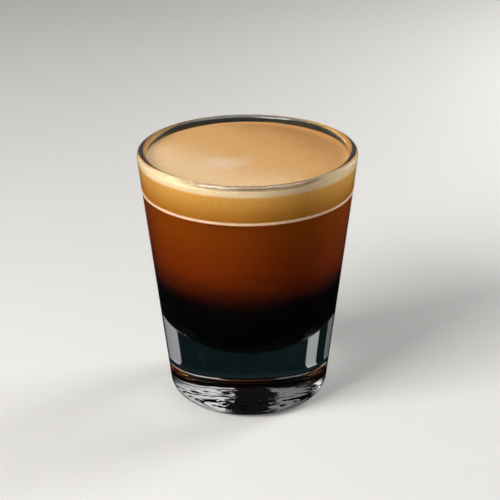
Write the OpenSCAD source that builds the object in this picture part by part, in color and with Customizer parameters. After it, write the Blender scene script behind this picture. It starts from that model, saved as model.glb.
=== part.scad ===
// Espresso shot in a heavy-based shot glass.
// +Z is up. The origin is the centre of the circle that the glass stands on.
// Every piece is turned about the Z axis from a half section, drawn with x as the radius and y as the height.

/* [Glass] */
// Height from the table to the top of the rim
glass_height = 61; // [54:0.5:75]
// Widest diameter, at the rim
rim_diameter = 51; // [44:0.5:62]
// Diameter just above the rounded heel
base_diameter = 38; // [32:0.5:44]
// Thickness of the wall at the rim, which is fully rounded
rim_wall = 2.2; // [1.6:0.1:3]
// Thickness of the wall where it runs into the round bottom of the bowl
low_wall = 3; // [2:0.1:4.5]
// Solid glass under the lowest point of the bowl
base_thickness = 13.5; // [8:0.5:18]
// Radius of the rounded heel, where the wall turns under the base
heel_radius = 3.6; // [1.5:0.1:5]

/* [Underside] */
// Width of the flat ring that the glass stands on
foot_width = 2; // [1:0.1:4]
// Depth of the shallow dish inside the foot ring
dish_depth = 0.8; // [0.3:0.1:2]

/* [Contents] */
// Distance from the top of the rim down to the top of the crema
headspace = 1.5; // [1:0.1:8]
// Depth of the crema that floats on the coffee
crema_depth = 8; // [3:0.1:12]

/* [Fill line] */
// Height of the middle of the printed line above the table
line_height = 52.1; // [35:0.1:53]
// Width of the printed line, measured up the glass
line_width = 0.6; // [0.4:0.1:1.5]
// Thickness of the printed ink
line_thickness = 0.12; // [0.08:0.01:0.3]

/* [Hidden] */
$fn = 128;

// Tilt from upright of the straight line that touches a low and a high circle on their outer sides.
// A negative radius means that the line passes that circle on its inner side.
function tangent_tilt(low, low_r, high, high_r) =
    let (step = high - low, lean = atan2(step.x, step.y))
    lean - asin((low_r - high_r) / norm(step));

// The point where such a line touches a circle
function touch_point(centre, r, tilt) = centre + r * [cos(tilt), -sin(tilt)];

// Outer wall: the tangent of the heel's round and the rim's round
rim_r = rim_wall / 2;
rim_centre = [rim_diameter / 2 - rim_r, glass_height - rim_r];
heel_centre = [base_diameter / 2 - heel_radius, heel_radius];
outer_tilt = tangent_tilt(heel_centre, heel_radius, rim_centre, rim_r);
outer_low = touch_point(heel_centre, heel_radius, outer_tilt);
outer_high = touch_point(rim_centre, rim_r, outer_tilt);
// Radius that the outer wall would have if it ran straight down to the table
wall_foot = outer_low.x - outer_low.y * tan(outer_tilt);

// Bowl: a sphere that stops low_wall short of the outer wall and base_thickness above the table
bowl_r = (wall_foot * cos(outer_tilt) + base_thickness * sin(outer_tilt) - low_wall)
    / (1 - sin(outer_tilt));
bowl_centre = [0, base_thickness + bowl_r];
// Inner wall: the tangent of the bowl and the inner side of the rim's round
inner_tilt = tangent_tilt(bowl_centre, bowl_r, rim_centre, -rim_r);
inner_low = touch_point(bowl_centre, bowl_r, inner_tilt);
inner_high = touch_point(rim_centre, -rim_r, inner_tilt);

// Underside: a flat foot ring round a dish ground from a large sphere
dish_radius = heel_centre.x - foot_width;
dish_sphere_r = (dish_radius * dish_radius + dish_depth * dish_depth) / (2 * dish_depth);

// Contents
crema_top = glass_height - headspace;
crema_bottom = crema_top - crema_depth;

// Cuts run this far past the faces that they open
overshoot = 1;

// Radius of the outer wall at a height
function outer_radius(z) = wall_foot + z * tan(outer_tilt);

// Half section of the bowl, carried up past the rim
module bowl_section() {
    intersection() {
        union() {
            translate(bowl_centre) circle(bowl_r);
            polygon([
                bowl_centre,
                inner_low,
                inner_high,
                [inner_high.x, glass_height + overshoot],
                [0, glass_height + overshoot]
            ]);
        }
        square([rim_diameter, glass_height + overshoot]);
    }
}

// The part of the bowl's half section between two heights
module filled_section(low, high) {
    intersection() {
        bowl_section();
        translate([0, low]) square([rim_diameter, high - low]);
    }
}

// Half section of the glass
module glass_section() {
    difference() {
        union() {
            translate(heel_centre) circle(heel_radius);
            polygon([
                [0, 0],
                [heel_centre.x, 0],
                outer_low,
                outer_high,
                inner_high,
                [0, inner_high.y]
            ]);
        }
        bowl_section();
        translate([0, dish_depth - dish_sphere_r]) circle(dish_sphere_r, $fn = 720);
    }
    translate(rim_centre) circle(rim_r);
}

// Half section of the printed line, lying on the outer wall
module line_section() {
    low = line_height - line_width / 2;
    high = line_height + line_width / 2;
    depth = line_thickness / cos(outer_tilt);
    polygon([
        [outer_radius(low), low],
        [outer_radius(low) + depth, low],
        [outer_radius(high) + depth, high],
        [outer_radius(high), high]
    ]);
}

// Clear pressed glass with a heavy base, a round-bottomed bowl and a rounded rim
module shot_glass() {
    color("lightcyan", 0.4)
        rotate_extrude() glass_section();
}

// Dark coffee that fills the bowl up to the crema
module espresso() {
    color("#3a1606")
        rotate_extrude() filled_section(base_thickness - overshoot, crema_bottom);
}

// Golden foam from the coffee up to just under the rim
module crema() {
    color("#d4a468")
        rotate_extrude() filled_section(crema_bottom, crema_top);
}

// Pale printed measure line round the outside of the glass
module fill_line() {
    color("#ead0bb")
        rotate_extrude() line_section();
}

shot_glass();
espresso();
crema();
fill_line();
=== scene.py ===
"""The looks of an espresso shot with its crema, in a clear heavy-based glass with a printed measure line.

Everything is in metres, in the part's own frame: Z is up and the glass stands on Z = 0.
The glass is turned again in a finer mesh, so that no facets show in what shines through it. The coffee and
the crema reach just into its wall, so that no air gap shows behind it. The printed line is the CAD piece with
an ink finish.
"""

import math

import bmesh
import bpy
from mathutils import Matrix, Vector, noise


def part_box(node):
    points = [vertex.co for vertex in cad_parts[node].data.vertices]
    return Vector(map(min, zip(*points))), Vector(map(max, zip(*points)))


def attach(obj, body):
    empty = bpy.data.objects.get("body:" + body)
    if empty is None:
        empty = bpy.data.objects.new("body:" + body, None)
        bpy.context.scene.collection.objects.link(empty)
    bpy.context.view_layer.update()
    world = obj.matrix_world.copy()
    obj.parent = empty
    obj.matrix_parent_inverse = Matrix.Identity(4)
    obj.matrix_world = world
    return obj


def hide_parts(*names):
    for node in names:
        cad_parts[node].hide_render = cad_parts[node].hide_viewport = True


bl_info = {
    "name": "Espresso Shot",
    "version": (1, 0, 0),
    "blender": (4, 5, 0),
    "location": "View3D > Sidebar > Espresso",
    "description": "Finishes the glass and pours the coffee and crema of an espresso shot",
    "category": "Add Mesh",
}

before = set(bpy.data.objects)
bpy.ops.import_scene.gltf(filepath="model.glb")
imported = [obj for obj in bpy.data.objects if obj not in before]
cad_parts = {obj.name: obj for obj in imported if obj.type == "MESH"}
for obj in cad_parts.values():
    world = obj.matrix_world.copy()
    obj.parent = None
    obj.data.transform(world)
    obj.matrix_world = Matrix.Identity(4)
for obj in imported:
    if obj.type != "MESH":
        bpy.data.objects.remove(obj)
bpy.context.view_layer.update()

MM = 0.001
BODY = "root"
FLOAT = "NodeSocketFloat"

# Flat sides round each turned piece
SEGMENTS = 256

# Fresnel value above which the glass in front of the coffee counts as a mirror
MIRRORS_ABOVE = 0.6

# The camera: its lens in millimetres, its place, and how many degrees it looks down and is rolled
LENS = 109.9
CAMERA_PLACE = (0.00046, -0.3316, 0.1796)
LOOKS_DOWN = 23.5
ROLLED = -0.32

# What a soft box is hidden from: nothing but mirrored rays see it, or nothing but rays straight through glass
ONLY_MIRRORED = ("diffuse", "transmission")
ONLY_THROUGH = ("diffuse", "glossy")
NOT_MIRRORED = ("glossy",)
WHITE = (1.0, 1.0, 1.0)
WARM = (1.0, 0.985, 0.96)

# Soft boxes: name, azimuth, elevation, distance, size, power, colour, what they are hidden from, veiled
SOFT_BOXES = (
    ("Key", -52, 33, 0.6, (0.36, 0.3), 7.2, WARM, NOT_MIRRORED, True),
    ("Right", 121, 11, 0.5, (0.22, 0.2), 4.6, WHITE, NOT_MIRRORED, True),
    ("Strip left", 126, 24, 0.5, (0.21, 0.34), 0.25, WHITE, ONLY_MIRRORED, False),
    ("Strip right inner", -143.4, 24, 0.5, (0.09, 0.34), 0.11, WHITE, ONLY_MIRRORED, False),
    ("Strip right outer", -119, 24, 0.5, (0.12, 0.34), 0.07, WHITE, ONLY_MIRRORED, False),
    ("Glow left", 140, 24, 0.5, (0.5, 0.3), 0.31, WHITE, ONLY_THROUGH, False),
    ("Glow right inner", -155, 24, 0.5, (0.2, 0.3), 0.035, WHITE, ONLY_THROUGH, False),
    ("Glow right outer", -122, 24, 0.5, (0.1, 0.3), 0.14, WHITE, ONLY_THROUGH, False),
    ("Key glint", -46, 62, 0.6, (0.3, 0.2), 2.5, WHITE, ONLY_MIRRORED, False),
    ("Overhead card", 0, 88, 0.6, (0.7, 0.7), 5.0, WHITE, ONLY_MIRRORED, False),
)


# ---------------------------------------------------------------- measures from the frame


def reach(node):
    """Largest distance of a CAD node from the Z axis."""
    return max(math.hypot(v.co.x, v.co.y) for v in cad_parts[node].data.vertices)


def arc(centre, radius, start, end, steps):
    """Points (radius, height) along a round, from one angle to another."""
    angles = (start + (end - start) * i / steps for i in range(steps + 1))
    return [(centre[0] + radius * math.cos(a), centre[1] + radius * math.sin(a)) for a in angles]


def straight(start, end, steps):
    """Points between two points, without either end."""
    shares = (i / steps for i in range(1, steps))
    return [(start[0] + (end[0] - start[0]) * t, start[1] + (end[1] - start[1]) * t) for t in shares]


def tangent_tilt(low, low_radius, high, high_radius):
    """Tilt from upright of the line that touches a low and a high circle on their outer sides.

    A negative radius means that the line passes that circle on its inner side.
    """
    across = high[0] - low[0]
    up = high[1] - low[1]
    return math.atan2(across, up) - math.asin((low_radius - high_radius) / math.hypot(across, up))


class Bowl:
    """The inside of the glass: a straight wall that runs into a round bottom.

    The wall passes through the top edges of the coffee and of the crema, which fill it. The bottom is the
    sphere that touches that wall and the lowest point of the coffee.
    """

    def __init__(self):
        self.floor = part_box("espresso")[0].z
        self.coffee_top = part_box("espresso")[1].z
        self.crema_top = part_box("crema")[1].z
        self.crema_edge = reach("crema")
        rise = self.crema_top - self.coffee_top
        self.tilt = math.atan2(self.crema_edge - reach("espresso"), rise)
        off_axis = self.crema_edge * math.cos(self.tilt) - self.crema_top * math.sin(self.tilt)
        lean = math.sin(self.tilt)
        self.round = (off_axis + self.floor * lean) / (1 - lean)
        self.centre = (0.0, self.floor + self.round)

    def wall_point(self, z, grow=0.0):
        """Point (radius, height) of the straight wall, set outwards by grow."""
        return (self.crema_edge + (z - self.crema_top) * math.tan(self.tilt) + grow / math.cos(self.tilt), z)

    def bottom(self, grow, steps):
        """Points up the round bottom, from its lowest point to the straight wall."""
        return arc(self.centre, self.round + grow, -math.pi / 2, -self.tilt, steps)


# ---------------------------------------------------------------- meshes


def lathe(name, profile, segments, surface=None):
    """A closed mesh turned about Z from (radius, height) points. surface(x, y, z) may give a new height."""
    mesh = bmesh.new()
    rings = []
    for radius, z in profile:
        if radius < 1e-7:
            rings.append([mesh.verts.new((0, 0, surface(0, 0, z) if surface else z))])
            continue
        ring = []
        for i in range(segments):
            angle = 2 * math.pi * i / segments
            x = radius * math.cos(angle)
            y = radius * math.sin(angle)
            ring.append(mesh.verts.new((x, y, surface(x, y, z) if surface else z)))
        rings.append(ring)
    for lower, upper in zip(rings, rings[1:]):
        for i in range(segments):
            j = (i + 1) % segments
            if len(lower) == 1:
                mesh.faces.new((lower[0], upper[j], upper[i]))
            elif len(upper) == 1:
                mesh.faces.new((lower[i], lower[j], upper[0]))
            else:
                mesh.faces.new((lower[i], lower[j], upper[j], upper[i]))
    bmesh.ops.recalc_face_normals(mesh, faces=mesh.faces)
    for face in mesh.faces:
        face.smooth = True
    data = bpy.data.meshes.new(name)
    mesh.to_mesh(data)
    mesh.free()
    piece = bpy.data.objects.new(name, data)
    bpy.context.scene.collection.objects.link(piece)
    return piece


def finish_piece(piece, material, slot, *nodes):
    """Gives a piece its material and, when CAD nodes are named, its body, and hides those nodes. The slot is
    not used.
    """
    piece.data.materials.clear()
    piece.data.materials.append(material)
    if nodes:
        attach(piece, BODY)
        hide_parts(*nodes)


# ---------------------------------------------------------------- shader helpers


def add_node(tree, kind, inputs=None, **settings):
    """A shader node with its properties set, and its inputs set or linked by name or number."""
    node = tree.nodes.new(kind)
    for key, value in settings.items():
        setattr(node, key, value)
    for key, value in (inputs or {}).items():
        socket = node.inputs[key]
        if isinstance(value, bpy.types.NodeSocket):
            tree.links.new(value, socket)
        else:
            socket.default_value = value
    return node


def new_group(name, inputs, outputs):
    """A shader node group with named sockets: inputs are (name, kind, default), outputs are (name, kind)."""
    tree = bpy.data.node_groups.new(name, "ShaderNodeTree")
    for label, kind, default in inputs:
        socket = tree.interface.new_socket(label, in_out="INPUT", socket_type=kind)
        socket.default_value = default
    for label, kind in outputs:
        tree.interface.new_socket(label, in_out="OUTPUT", socket_type=kind)
    return tree, tree.nodes.new("NodeGroupInput"), tree.nodes.new("NodeGroupOutput")


def height_fade_group():
    """Mask that runs smoothly from 0 at one height to 1 at another, with a ragged edge."""
    name = "Height fade"
    if name in bpy.data.node_groups:
        return bpy.data.node_groups[name]
    tree, given, result = new_group(
        name,
        [
            ("From", FLOAT, 0.0),
            ("To", FLOAT, 1.0),
            ("Ragged", FLOAT, 0.0),
            ("Scale", FLOAT, 200.0),
            ("Flatten", FLOAT, 1.0),
        ],
        [("Mask", FLOAT)],
    )
    place = add_node(tree, "ShaderNodeTexCoord")
    squeeze = add_node(tree, "ShaderNodeCombineXYZ", {0: 1.0, 1: 1.0, 2: given.outputs["Flatten"]})
    layered = add_node(
        tree,
        "ShaderNodeVectorMath",
        {0: place.outputs["Object"], 1: squeeze.outputs[0]},
        operation="MULTIPLY",
    )
    waver = add_node(
        tree,
        "ShaderNodeTexNoise",
        {"Vector": layered.outputs[0], "Scale": given.outputs["Scale"], "Detail": 3.0},
    )
    centred = add_node(tree, "ShaderNodeMath", {0: waver.outputs["Fac"], 1: 0.5}, operation="SUBTRACT")
    shift = add_node(
        tree,
        "ShaderNodeMath",
        {0: centred.outputs[0], 1: given.outputs["Ragged"]},
        operation="MULTIPLY",
    )
    axes = add_node(tree, "ShaderNodeSeparateXYZ", {0: place.outputs["Object"]})
    height = add_node(tree, "ShaderNodeMath", {0: axes.outputs["Z"], 1: shift.outputs[0]}, operation="ADD")
    mask = add_node(
        tree,
        "ShaderNodeMapRange",
        {
            "Value": height.outputs[0],
            "From Min": given.outputs["From"],
            "From Max": given.outputs["To"],
        },
        interpolation_type="SMOOTHSTEP",
    )
    tree.links.new(mask.outputs["Result"], result.inputs["Mask"])
    return tree


def cloud_group():
    """Soft mottling: a mask between 0 and 1 from warped noise."""
    name = "Mottle"
    if name in bpy.data.node_groups:
        return bpy.data.node_groups[name]
    tree, given, result = new_group(
        name,
        [
            ("Scale", FLOAT, 100.0),
            ("Detail", FLOAT, 4.0),
            ("Warp", FLOAT, 0.0),
            ("Low", FLOAT, 0.35),
            ("High", FLOAT, 0.65),
        ],
        [("Mask", FLOAT)],
    )
    place = add_node(tree, "ShaderNodeTexCoord")
    cloud = add_node(
        tree,
        "ShaderNodeTexNoise",
        {
            "Vector": place.outputs["Object"],
            "Scale": given.outputs["Scale"],
            "Detail": given.outputs["Detail"],
            "Distortion": given.outputs["Warp"],
        },
    )
    mask = add_node(
        tree,
        "ShaderNodeMapRange",
        {
            "Value": cloud.outputs["Fac"],
            "From Min": given.outputs["Low"],
            "From Max": given.outputs["High"],
        },
        interpolation_type="SMOOTHSTEP",
    )
    tree.links.new(mask.outputs["Result"], result.inputs["Mask"])
    return tree


def relief_group():
    """Fine uneven relief as a normal, from noise of a given scale and depth."""
    name = "Fine relief"
    if name in bpy.data.node_groups:
        return bpy.data.node_groups[name]
    tree, given, result = new_group(
        name,
        [("Scale", FLOAT, 500.0), ("Detail", FLOAT, 2.0), ("Depth", FLOAT, 0.0001)],
        [("Normal", "NodeSocketVector")],
    )
    place = add_node(tree, "ShaderNodeTexCoord")
    grain = add_node(
        tree,
        "ShaderNodeTexNoise",
        {
            "Vector": place.outputs["Object"],
            "Scale": given.outputs["Scale"],
            "Detail": given.outputs["Detail"],
        },
    )
    height = add_node(
        tree,
        "ShaderNodeMath",
        {0: grain.outputs["Fac"], 1: given.outputs["Depth"]},
        operation="MULTIPLY",
    )
    bump = add_node(tree, "ShaderNodeBump", {"Height": height.outputs[0], "Distance": 1.0})
    tree.links.new(bump.outputs["Normal"], result.inputs["Normal"])
    return tree


def use_group(tree, group, **inputs):
    """Places a node group in a material with its own values. An underscore in a keyword is a space."""
    node = add_node(tree, "ShaderNodeGroup", node_tree=group)
    for key, value in inputs.items():
        socket = node.inputs[key.replace("_", " ")]
        if isinstance(value, bpy.types.NodeSocket):
            tree.links.new(value, socket)
        else:
            socket.default_value = value
    return node


def mix_colour(tree, mask, first, second):
    """Colour output that goes from first to second as mask goes from 0 to 1."""
    node = add_node(tree, "ShaderNodeMix", data_type="RGBA")
    for socket, value in ((node.inputs[0], mask), (node.inputs[6], first), (node.inputs[7], second)):
        if isinstance(value, bpy.types.NodeSocket):
            tree.links.new(value, socket)
        else:
            socket.default_value = (*value, 1.0) if hasattr(value, "__len__") else value
    return node.outputs[2]


def new_material(name):
    """An empty node material and its output node."""
    material = bpy.data.materials.new(name)
    material.use_nodes = True
    material.node_tree.nodes.clear()
    return material, material.node_tree, material.node_tree.nodes.new("ShaderNodeOutputMaterial")


# ---------------------------------------------------------------- materials


def glass_material(look):
    """Clear pressed glass with the faint waviness of a moulded wall."""
    material, tree, output = new_material("Clear glass")
    waves = use_group(tree, relief_group(), Scale=look.wave_scale, Detail=1.0, Depth=look.wave_depth)
    smears = use_group(tree, cloud_group(), Scale=120.0, Detail=3.0, Warp=0.6, Low=0.45, High=0.8)
    rough = add_node(
        tree,
        "ShaderNodeMath",
        {0: smears.outputs["Mask"], 1: look.smear},
        operation="MULTIPLY",
    )
    shader = add_node(
        tree,
        "ShaderNodeBsdfPrincipled",
        {
            "Base Color": (*look.tint, 1.0),
            "Roughness": rough.outputs[0],
            "IOR": look.ior,
            "Transmission Weight": 1.0,
            "Normal": waves.outputs["Normal"],
        },
    )
    tree.links.new(shader.outputs[0], output.inputs["Surface"])
    return material


def coffee_material(look, bowl, glass_ior):
    """Coffee seen through the wall, with painted light: amber brown near the top for light that comes down
    through the crema, darkening with depth into painted shade, black at the bottom over its own dark colour.

    Its gloss is a coat that shows only at the low angles at which the glass in front of it mirrors.
    """
    material, tree, output = new_material("Dark coffee")
    depth = bowl.coffee_top - bowl.floor
    # Painted glow: amber over the top share of the coffee, for light that comes down through the crema
    upper = use_group(
        tree,
        height_fade_group(),
        From=bowl.coffee_top - look.painted_glow_depth * depth,
        To=bowl.coffee_top,
        Ragged=2 * MM,
        Scale=70.0,
        Flatten=5.0,
    )
    # Painted shade: lower down the colour darkens to black, where little light reaches
    lower = use_group(
        tree,
        height_fade_group(),
        From=bowl.coffee_top - look.painted_shade_depth * depth,
        To=bowl.coffee_top - 0.5 * look.painted_shade_depth * depth,
        Ragged=3 * MM,
        Scale=60.0,
        Flatten=6.0,
    )
    body = mix_colour(tree, lower.outputs["Mask"], look.deep, look.middle)
    colour = mix_colour(tree, upper.outputs["Mask"], body, look.top)
    fresnel = add_node(tree, "ShaderNodeFresnel", {"IOR": look.ior / glass_ior})
    gleam = add_node(
        tree,
        "ShaderNodeMath",
        {0: fresnel.outputs[0], 1: MIRRORS_ABOVE},
        operation="GREATER_THAN",
    )
    shader = add_node(
        tree,
        "ShaderNodeBsdfPrincipled",
        {
            "Base Color": colour,
            "Roughness": 0.4,
            "IOR": look.ior,
            "Specular IOR Level": 0.08,
            "Coat Weight": gleam.outputs[0],
            "Coat Roughness": 0.08,
            "Coat IOR": look.mirror_ior,
            "Coat Tint": (*look.gleam, 1.0),
        },
    )
    tree.links.new(shader.outputs[0], output.inputs["Surface"])
    return material


def crema_material(look, bowl):
    """Fine golden foam: mottled from pale to brown on top, golden where the wall presses on it, with a
    painted glow along its upper edge behind the rim, for light that comes in through the rim.
    """
    material, tree, output = new_material("Crema foam")
    place = add_node(tree, "ShaderNodeTexCoord")
    drift = use_group(tree, cloud_group(), Scale=70.0, Detail=2.0, Warp=0.5, Low=0.0, High=1.0)
    pale_towards = (-0.55 / bowl.crema_edge, -0.62 / bowl.crema_edge, 0.0)
    slope = add_node(
        tree,
        "ShaderNodeVectorMath",
        {0: place.outputs["Object"], 1: pale_towards},
        operation="DOT_PRODUCT",
    )
    lean = add_node(
        tree,
        "ShaderNodeMath",
        {0: drift.outputs["Mask"], 1: 0.5, 2: slope.outputs["Value"]},
        operation="MULTIPLY_ADD",
    )
    pale_range = (0.1, 0.9)
    brown_range = (0.1, -0.65)
    masks = []
    for start, end in (pale_range, brown_range):
        mask = add_node(
            tree,
            "ShaderNodeMapRange",
            {"Value": lean.outputs[0], "From Min": start, "From Max": end},
            interpolation_type="SMOOTHSTEP",
        )
        masks.append(mask.outputs["Result"])
    top = mix_colour(tree, masks[0], look.tan, look.pale)
    top = mix_colour(tree, masks[1], top, look.brown)
    # A soft paler patch in the top's colour, off the middle towards the front left
    spot = Vector((-0.25 * bowl.crema_edge, -0.19 * bowl.crema_edge, bowl.crema_top))
    away = add_node(
        tree,
        "ShaderNodeVectorMath",
        {0: place.outputs["Object"], 1: spot},
        operation="DISTANCE",
    )
    spread = add_node(
        tree,
        "ShaderNodeMath",
        {0: drift.outputs["Mask"], 1: -0.2 * bowl.crema_edge, 2: away.outputs["Value"]},
        operation="MULTIPLY_ADD",
    )
    pale_patch = add_node(
        tree,
        "ShaderNodeMapRange",
        {"Value": spread.outputs[0], "From Min": 0.2 * bowl.crema_edge, "From Max": -0.1 * bowl.crema_edge},
        interpolation_type="SMOOTHSTEP",
    )
    top = mix_colour(tree, pale_patch.outputs["Result"], top, look.pale_patch)
    side_fade = use_group(
        tree,
        height_fade_group(),
        From=bowl.coffee_top,
        To=bowl.crema_top - look.painted_glow_height,
        Ragged=0.8 * MM,
        Scale=150.0,
    )
    side = mix_colour(tree, side_fade.outputs["Mask"], look.side_low, look.side_high)
    # Painted highlight: a bright band along the top edge of the side, standing in for light that comes in
    # through the rim
    painted_rim_glow = use_group(
        tree,
        height_fade_group(),
        From=bowl.crema_top - 1.3 * look.painted_glow_height,
        To=bowl.crema_top - 0.6 * look.painted_glow_height,
        Ragged=0.3 * MM,
        Scale=120.0,
    )
    side = mix_colour(tree, painted_rim_glow.outputs["Mask"], side, look.painted_rim_glow)
    geometry = add_node(tree, "ShaderNodeNewGeometry")
    axes = add_node(tree, "ShaderNodeSeparateXYZ", {0: geometry.outputs["Normal"]})
    facing = add_node(
        tree,
        "ShaderNodeMapRange",
        {"Value": axes.outputs["Z"], "From Min": 0.35, "From Max": 0.75},
        interpolation_type="SMOOTHSTEP",
    )
    colour = mix_colour(tree, facing.outputs["Result"], side, top)
    speckle = use_group(tree, cloud_group(), Scale=1800.0, Detail=2.0, Low=0.3, High=0.7)
    shade = add_node(
        tree,
        "ShaderNodeMapRange",
        {"Value": speckle.outputs["Mask"], "To Min": 0.94, "To Max": 1.03},
    )
    colour = add_node(
        tree,
        "ShaderNodeVectorMath",
        {0: colour, "Scale": shade.outputs["Result"]},
        operation="SCALE",
    ).outputs[0]
    foam = use_group(tree, relief_group(), Scale=2200.0, Detail=2.0, Depth=look.foam_depth)
    shader = add_node(
        tree,
        "ShaderNodeBsdfPrincipled",
        {
            "Base Color": colour,
            "Roughness": 0.5,
            "IOR": 1.33,
            "Specular IOR Level": 0.3,
            "Normal": foam.outputs["Normal"],
        },
    )
    tree.links.new(shader.outputs[0], output.inputs["Surface"])
    return material


def ink_material(look):
    """Pale fired ink, a little worn and uneven."""
    material, tree, output = new_material("Printed line")
    worn = use_group(tree, cloud_group(), Scale=700.0, Detail=3.0, Low=0.35, High=0.6)
    colour = mix_colour(tree, worn.outputs["Mask"], [0.88 * c for c in look.ink], look.ink)
    grain = use_group(tree, relief_group(), Scale=3000.0, Detail=1.0, Depth=0.00001)
    shader = add_node(
        tree,
        "ShaderNodeBsdfPrincipled",
        {"Base Color": colour, "Roughness": 0.4, "Normal": grain.outputs["Normal"]},
    )
    tree.links.new(shader.outputs[0], output.inputs["Surface"])
    return material


def floor_material(look):
    """Pale floor with a hardly visible unevenness, which fades into the surround far from the glass.

    Reflections show it as a matte dark table, and the glass shows it as a polished dark table.
    """
    material, tree, output = new_material("Pale floor")
    patch = use_group(tree, cloud_group(), Scale=9.0, Detail=2.0, Low=0.3, High=0.7)
    colour = mix_colour(tree, patch.outputs["Mask"], [0.985 * c for c in look.floor], look.floor)
    pale = add_node(
        tree,
        "ShaderNodeBsdfPrincipled",
        {"Base Color": colour, "Roughness": 0.7, "IOR": 1.4},
    )
    matte = add_node(tree, "ShaderNodeBsdfDiffuse", {"Color": (*look.table, 1.0)})
    polished = add_node(
        tree,
        "ShaderNodeBsdfPrincipled",
        {"Base Color": (*look.table, 1.0), "Roughness": look.table_roughness, "IOR": look.table_polish},
    )
    path = add_node(tree, "ShaderNodeLightPath")
    surface = pale
    for ray, shader in (("Is Glossy Ray", matte), ("Is Transmission Ray", polished)):
        surface = add_node(
            tree,
            "ShaderNodeMixShader",
            {0: path.outputs[ray], 1: surface.outputs[0], 2: shader.outputs[0]},
        )
    geometry = add_node(tree, "ShaderNodeNewGeometry")
    away = add_node(tree, "ShaderNodeVectorMath", {0: geometry.outputs["Position"]}, operation="LENGTH")
    far = add_node(
        tree,
        "ShaderNodeMapRange",
        {"Value": away.outputs["Value"], "From Min": look.fade_start, "From Max": look.fade_end},
        interpolation_type="SMOOTHSTEP",
    )
    shown = add_node(
        tree,
        "ShaderNodeMath",
        {0: far.outputs["Result"], 1: path.outputs["Is Camera Ray"]},
        operation="MULTIPLY",
    )
    haze = add_node(tree, "ShaderNodeEmission", {"Color": (*look.floor, 1.0), "Strength": look.backdrop})
    surface = add_node(
        tree,
        "ShaderNodeMixShader",
        {0: shown.outputs[0], 1: surface.outputs[0], 2: haze.outputs[0]},
    )
    tree.links.new(surface.outputs[0], output.inputs["Surface"])
    return material


def room_world(look):
    """Pale surround for the camera, dim light for the object and a darker room for what the glass shows.

    What the outside of the glass mirrors is brighter than what is seen or mirrored through the glass.
    """
    world = bpy.data.worlds.new("Room")
    world.use_nodes = True
    tree = world.node_tree
    tree.nodes.clear()
    path = add_node(tree, "ShaderNodeLightPath")
    outside = add_node(
        tree,
        "ShaderNodeMath",
        {0: path.outputs["Transmission Depth"], 1: 0.5},
        operation="LESS_THAN",
    )
    mirrored = add_node(
        tree,
        "ShaderNodeMapRange",
        {"Value": outside.outputs[0], "To Min": look.table_gleam, "To Max": look.mirrored_room},
    )
    mirrored_tint = mix_colour(tree, outside.outputs[0], (0.42, 0.95, 1.0), (0.98, 0.98, 1.0))
    rooms = (
        (None, (0.95, 0.97, 1.0, 1.0), look.room),
        ("Is Glossy Ray", mirrored_tint, mirrored.outputs["Result"]),
        ("Is Transmission Ray", (0.9, 0.95, 1.0, 1.0), look.dark_room),
        ("Is Camera Ray", (*look.floor, 1.0), look.backdrop),
    )
    seen = None
    for ray, colour, strength in rooms:
        room = add_node(tree, "ShaderNodeBackground", {"Color": colour, "Strength": strength})
        if ray:
            room = add_node(
                tree,
                "ShaderNodeMixShader",
                {0: path.outputs[ray], 1: seen.outputs[0], 2: room.outputs[0]},
            )
        seen = room
    output = tree.nodes.new("ShaderNodeOutputWorld")
    tree.links.new(seen.outputs[0], output.inputs["Surface"])
    return world


# ---------------------------------------------------------------- properties


def colour_property(name, description, default):
    return bpy.props.FloatVectorProperty(
        name=name, description=description, default=default, subtype="COLOR", size=3, min=0.0, max=1.0
    )


def length_property(name, description, default):
    return bpy.props.FloatProperty(
        name=name, description=description, default=default, unit="LENGTH", min=0.0, precision=5
    )


class GlassLook(bpy.types.PropertyGroup):
    rim_wall: length_property("Rim wall", "Thickness of the wall at the rounded rim", 2.2 * MM)
    base_diameter: length_property("Base diameter", "Diameter just above the rounded heel", 38 * MM)
    heel_radius: length_property("Heel radius", "Rounding where the wall turns under the base", 3.6 * MM)
    foot_width: length_property("Foot width", "Flat ring that the glass stands on", 2 * MM)
    dish_depth: length_property("Dish depth", "Depth of the shallow dish in the underside", 0.8 * MM)
    ripple_depth: length_property("Ripple depth", "Height of the underside's unevenness", 0.22 * MM)
    ripple_size: length_property("Ripple size", "Spacing of the underside's unevenness", 3.2 * MM)
    tint: colour_property(
        "Tint", "Colour that the clear glass gives to what shines through", (0.98, 0.99, 0.99)
    )
    ior: bpy.props.FloatProperty(
        name="IOR", description="Refraction of the glass", default=1.5, min=1.3, max=1.7
    )
    wave_scale: bpy.props.FloatProperty(
        name="Wave scale", description="Waves per metre", default=60.0, min=1.0
    )
    wave_depth: length_property("Wave depth", "Depth of the moulded wall's waviness", 0.00002)
    smear: bpy.props.FloatProperty(
        name="Smear", description="Roughness of smears", default=0.006, min=0.0, max=0.3
    )
    ink: colour_property("Ink", "Colour of the printed measure line", (0.58, 0.375, 0.235))


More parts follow.
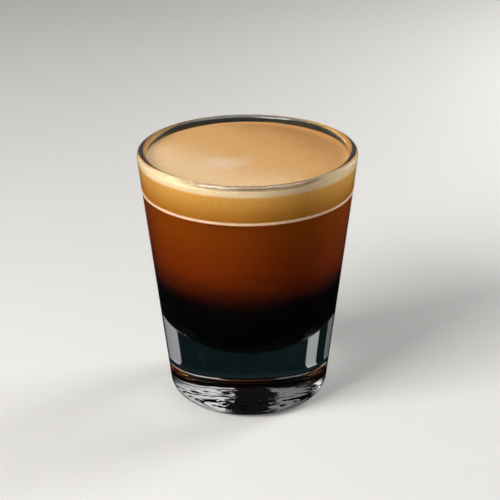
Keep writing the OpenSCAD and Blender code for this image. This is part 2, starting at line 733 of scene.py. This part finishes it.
class CoffeeLook(bpy.types.PropertyGroup):
    into_wall: length_property("Into wall", "How far the coffee and crema reach into the glass", 0.12 * MM)
    tuck: length_property("Tuck", "How far the coffee's bevelled top reaches into the crema", 0.3 * MM)
    fleck_depth: length_property(
        "Fleck depth", "Unevenness that breaks up the gleam under the bowl", 0.1 * MM
    )
    fleck_size: length_property("Fleck size", "Spacing of that unevenness", 1.6 * MM)
    # Top and Middle are painted light, the amber glow of light through the crema; Deep is painted shade over
    # the coffee's own near-black colour
    top: colour_property("Top", "Coffee just under the crema", (0.27, 0.052, 0.001))
    middle: colour_property("Middle", "Coffee half way down", (0.205, 0.026, 0.0006))
    deep: colour_property("Deep", "Coffee at the bottom of the bowl", (0.003, 0.0005, 0.0003))
    gleam: colour_property("Gleam", "Tint of what the glass mirrors over the coffee", (0.95, 0.88, 0.80))
    mirror_ior: bpy.props.FloatProperty(
        name="Mirror IOR",
        description="Refraction that sets how strongly it mirrors",
        default=4.0,
        min=1.0,
        max=4.0,
    )
    ior: bpy.props.FloatProperty(
        name="IOR", description="Refraction of the coffee", default=1.33, min=1.0, max=1.5
    )
    painted_glow_depth: bpy.props.FloatProperty(
        name="Glow depth",
        description="Share of the coffee that is lit amber",
        default=0.40,
        min=0.0,
        max=1.0,
    )
    painted_shade_depth: bpy.props.FloatProperty(
        name="Dark depth", description="Share of the coffee above the black", default=0.61, min=0.0, max=1.0
    )


class CremaLook(bpy.types.PropertyGroup):
    tan: colour_property("Tan", "Middle colour of the top", (0.48, 0.265, 0.095))
    pale: colour_property("Pale", "Paler side of the top", (0.57, 0.385, 0.205))
    brown: colour_property("Brown", "Browner side of the top", (0.34, 0.155, 0.042))
    pale_patch: colour_property("Froth", "Soft pale patch of the top", (0.57, 0.41, 0.28))
    side_high: colour_property("Side high", "Foam behind the wall, upper part", (0.78, 0.40, 0.078))
    side_low: colour_property(
        "Side low", "Foam behind the wall, just above the coffee", (0.53, 0.205, 0.018)
    )
    # The bright edge colour below is a painted glow of light coming in through the rim onto the foam's upper
    # edge, not a colour of the foam
    painted_rim_glow: colour_property("Band", "Bright edge of the foam under the rim", (0.85, 0.67, 0.40))
    painted_glow_height: length_property("Rim band", "Height of the bright edge", 0.0014)
    meniscus_rise: length_property("Meniscus rise", "How far the foam climbs the wall", 0.0003)
    meniscus_reach: length_property("Meniscus reach", "How far from the wall it starts to climb", 0.0006)
    swell: length_property("Swell", "Height of the soft unevenness of the top", 0.00012)
    foam_depth: length_property("Foam depth", "Depth of the fine foam relief", 0.00003)


class StageLook(bpy.types.PropertyGroup):
    floor: colour_property("Floor", "Colour of the floor", (0.52, 0.515, 0.50))
    floor_size: length_property("Floor size", "Side of the square floor", 6.0)
    fade_start: length_property("Fade start", "Distance at which the floor starts to fade", 0.4)
    fade_end: length_property("Fade end", "Distance at which it has become the surround", 1.0)
    room: bpy.props.FloatProperty(
        name="Room", description="Strength of the room's light", default=0.12, min=0.0
    )
    dark_room: bpy.props.FloatProperty(
        name="Dark room",
        description="Strength of the room as seen through the glass",
        default=0.006,
        min=0.0,
    )
    table_gleam: bpy.props.FloatProperty(
        name="Table gleam", description="Strength of the room in the table's polish", default=0.028, min=0.0
    )
    mirrored_room: bpy.props.FloatProperty(
        name="Mirrored room",
        description="Strength of the room as the rim mirrors it",
        default=0.27,
        min=0.0,
    )
    backdrop: bpy.props.FloatProperty(
        name="Backdrop", description="Brightness of the surround past the floor", default=0.8, min=0.0
    )
    table: colour_property("Table", "Colour of the floor as the glass shows it", (0.003, 0.006, 0.007))
    table_polish: bpy.props.FloatProperty(
        name="Table polish",
        description="Refraction that sets the table's gloss",
        default=2.6,
        min=1.0,
        max=4.0,
    )
    table_roughness: bpy.props.FloatProperty(
        name="Table roughness",
        description="Polish of the floor as the glass shows it",
        default=0.06,
        min=0.0,
    )


# ---------------------------------------------------------------- operators


def glass_profile(sizes, bowl):
    """Points (radius, height) round the whole section of the glass, from the middle of its underside."""
    rim = sizes.rim_wall / 2
    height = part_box("shot_glass")[1].z
    rim_centre = (reach("shot_glass") - rim, height - rim)
    heel = sizes.heel_radius
    heel_centre = (sizes.base_diameter / 2 - heel, heel)
    outer = tangent_tilt(heel_centre, heel, rim_centre, rim)
    dish_edge = heel_centre[0] - sizes.foot_width
    dish = (dish_edge**2 + sizes.dish_depth**2) / (2 * sizes.dish_depth)
    dish_angle = math.asin(dish_edge / dish)

    underside = arc((0.0, sizes.dish_depth - dish), dish, math.pi / 2, math.pi / 2 - dish_angle, 40)
    underside[0] = (0.0, sizes.dish_depth)
    foot = straight(underside[-1], (heel_centre[0], 0.0), 3)
    heel_round = arc(heel_centre, heel, -math.pi / 2, -outer, 24)
    rim_round = arc(rim_centre, rim, -outer, math.pi - bowl.tilt, 32)
    inside = arc(bowl.centre, bowl.round, -bowl.tilt, -math.pi / 2, 48)
    inside[-1] = (0.0, bowl.floor)
    wall = straight(heel_round[-1], rim_round[0], 24)
    inner_wall = straight(rim_round[-1], inside[0], 16)
    return underside + foot + heel_round + wall + rim_round + inner_wall + inside


class ESPRESSO_OT_glass(bpy.types.Operator):
    """Press the glass, with the fine unevenness of its underside"""

    bl_idname = "espresso.glass"
    bl_label = "Glass"

    def execute(self, context):
        sizes = context.scene.espresso_glass
        profile = glass_profile(sizes, Bowl())
        edge = sizes.base_diameter / 2 - sizes.heel_radius - sizes.foot_width

        def ripples(x, y, z):
            out = math.hypot(x, y) / edge
            if z > sizes.dish_depth or out >= 1:
                return z
            wave = noise.fractal(Vector((x, y, 0.0)) / sizes.ripple_size, 1.0, 2.0, 3)
            return z + sizes.ripple_depth * wave * min(1.0, 4 * (1 - out))

        glass = lathe("glass", profile, SEGMENTS, ripples)
        finish_piece(glass, glass_material(sizes), "clear_glass", "shot_glass")
        return {"FINISHED"}


class ESPRESSO_OT_line(bpy.types.Operator):
    """Print the measure line"""

    bl_idname = "espresso.line"
    bl_label = "Printed Line"

    def execute(self, context):
        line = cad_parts["fill_line"]
        finish_piece(line, ink_material(context.scene.espresso_glass), "printed_line")
        return {"FINISHED"}


class ESPRESSO_OT_coffee(bpy.types.Operator):
    """Pour the coffee into the bowl"""

    bl_idname = "espresso.coffee"
    bl_label = "Coffee"

    def execute(self, context):
        look = context.scene.espresso_coffee
        bowl = Bowl()
        grow = look.into_wall
        profile = bowl.bottom(grow, 48)
        profile[0] = (0.0, bowl.floor - grow)
        edge = bowl.wall_point(bowl.coffee_top, grow)
        profile += straight(profile[-1], edge, 24) + [edge]
        tuck = look.tuck
        profile += [(edge[0] - tuck, edge[1] + tuck), (0.0, edge[1] + tuck)]
        low = bowl.floor + 0.3 * (bowl.coffee_top - bowl.floor)

        def unevenness(x, y, z):
            if z > low:
                return z
            wave = noise.fractal(Vector((x, y, z)) / look.fleck_size, 1.0, 2.0, 2)
            return z + look.fleck_depth * wave * min(1.0, 4 * (low - z) / low)

        coffee = lathe("coffee", profile, SEGMENTS, unevenness)
        material = coffee_material(look, bowl, context.scene.espresso_glass.ior)
        finish_piece(coffee, material, "coffee", "espresso")
        return {"FINISHED"}


class ESPRESSO_OT_crema(bpy.types.Operator):
    """Float the crema on the coffee"""

    bl_idname = "espresso.crema"
    bl_label = "Crema"

    def execute(self, context):
        look = context.scene.espresso_crema
        bowl = Bowl()
        grow = context.scene.espresso_coffee.into_wall
        top = bowl.crema_top
        low_edge = bowl.wall_point(bowl.coffee_top, grow)
        top_edge = bowl.wall_point(top, grow)
        rings = 72
        crowding = 1.4
        swell_size = 0.011
        profile = [(0.0, low_edge[1]), low_edge] + straight(low_edge, top_edge, 24)
        profile += [(top_edge[0] * (1 - (i / rings) ** crowding), top) for i in range(rings)]
        profile.append((0.0, top))

        def relief(x, y, z):
            if z < top - 1e-6:
                return z
            inward = top_edge[0] - math.hypot(x, y)
            climb = look.meniscus_rise * math.exp(-inward / look.meniscus_reach)
            calm = min(1.0, inward / (3 * look.meniscus_reach))
            swell = noise.fractal(Vector((x, y, 0.0)) / swell_size, 1.0, 2.0, 3)
            return z - look.meniscus_rise + climb + look.swell * calm * swell

        crema = lathe("crema_foam", profile, SEGMENTS, relief)
        finish_piece(crema, crema_material(look, bowl), "foam", "crema")
        return {"FINISHED"}


def aim(thing, target):
    """Turns a camera or light towards a point."""
    away = Vector(thing.location) - Vector(target)
    thing.rotation_euler = away.to_track_quat("Z", "Y").to_euler()


def soft_light(target, name, azimuth, elevation, distance, size, power, colour, hidden, veiled):
    """A rectangular soft box seen from the target at an azimuth (0 is the front) and elevation.

    It stays hidden from the kinds of rays that hidden names. A veiled light still lights the drink through
    the glass, but isn't seen straight through it.
    """
    data = bpy.data.lights.new(name, "AREA")
    data.shape = "RECTANGLE"
    data.size, data.size_y = size
    data.energy = power
    data.color = colour
    light = bpy.data.objects.new(name, data)
    for rays in hidden:
        setattr(light, "visible_" + rays, False)
    if veiled:
        data.use_nodes = True
        tree = data.node_tree
        path = add_node(tree, "ShaderNodeLightPath")
        direct = add_node(
            tree,
            "ShaderNodeMath",
            {0: path.outputs["Diffuse Depth"], 1: 0.5},
            operation="LESS_THAN",
        )
        through = add_node(
            tree,
            "ShaderNodeMath",
            {0: path.outputs["Transmission Depth"], 1: 0.5},
            operation="GREATER_THAN",
        )
        seen = add_node(
            tree,
            "ShaderNodeMath",
            {0: direct.outputs[0], 1: through.outputs[0]},
            operation="MULTIPLY",
        )
        shown = add_node(tree, "ShaderNodeMath", {0: 1.0, 1: seen.outputs[0]}, operation="SUBTRACT")
        tree.links.new(shown.outputs[0], tree.nodes["Emission"].inputs["Strength"])
    bpy.context.scene.collection.objects.link(light)
    turn = math.radians(azimuth)
    rise = math.radians(elevation)
    flat = distance * math.cos(rise)
    offset = Vector((flat * math.sin(turn), -flat * math.cos(turn), distance * math.sin(rise)))
    light.location = Vector(target) + offset
    aim(light, target)


class ESPRESSO_OT_stage(bpy.types.Operator):
    """Set the camera, the soft lights and the pale floor"""

    bl_idname = "espresso.stage"
    bl_label = "Stage"

    def execute(self, context):
        look = context.scene.espresso_stage
        scene = context.scene
        scene.view_settings.view_transform = "Standard"
        data = bpy.data.cameras.new("Camera")
        data.lens = LENS
        data.sensor_width = 36.0
        data.clip_start = 0.01
        camera = bpy.data.objects.new("Camera", data)
        scene.collection.objects.link(camera)
        camera.location = CAMERA_PLACE
        level = Matrix.Rotation(math.radians(90 - LOOKS_DOWN), 3, "X")
        roll = Matrix.Rotation(math.radians(ROLLED), 3, "Z")
        camera.rotation_euler = (level @ roll).to_euler()
        scene.camera = camera

        centre = (0.0, 0.0, 0.5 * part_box("shot_glass")[1].z)
        for box in SOFT_BOXES:
            soft_light(centre, *box)
        scene.world = room_world(look)

        bpy.ops.mesh.primitive_plane_add(size=look.floor_size, location=(0, 0, 0))
        floor = context.active_object
        floor.name = "floor"
        floor.data.materials.append(floor_material(look))
        return {"FINISHED"}


OPERATORS = (ESPRESSO_OT_glass, ESPRESSO_OT_line, ESPRESSO_OT_coffee, ESPRESSO_OT_crema, ESPRESSO_OT_stage)
LOOKS = {
    "espresso_glass": GlassLook,
    "espresso_coffee": CoffeeLook,
    "espresso_crema": CremaLook,
    "espresso_stage": StageLook,
}


class ESPRESSO_PT_panel(bpy.types.Panel):
    """Panel that lists the looks and the operators that build them"""

    bl_idname = "ESPRESSO_PT_panel"
    bl_label = "Espresso Shot"
    bl_space_type = "VIEW_3D"
    bl_region_type = "UI"
    bl_category = "Espresso"

    def draw(self, context):
        for name, look in LOOKS.items():
            box = self.layout.box()
            box.label(text=look.__name__)
            for key in look.__annotations__:
                box.prop(getattr(context.scene, name), key)
        for operator in OPERATORS:
            self.layout.operator(operator.bl_idname)


CLASSES = (*LOOKS.values(), *OPERATORS, ESPRESSO_PT_panel)


def register():
    for item in CLASSES:
        bpy.utils.register_class(item)
    for name, look in LOOKS.items():
        setattr(bpy.types.Scene, name, bpy.props.PointerProperty(type=look))


def unregister():
    for name in LOOKS:
        delattr(bpy.types.Scene, name)
    for item in reversed(CLASSES):
        bpy.utils.unregister_class(item)


def main():
    register()
    bpy.ops.espresso.glass()
    bpy.ops.espresso.line()
    bpy.ops.espresso.coffee()
    bpy.ops.espresso.crema()
    bpy.ops.espresso.stage()


if __name__ == "__main__":
    main()
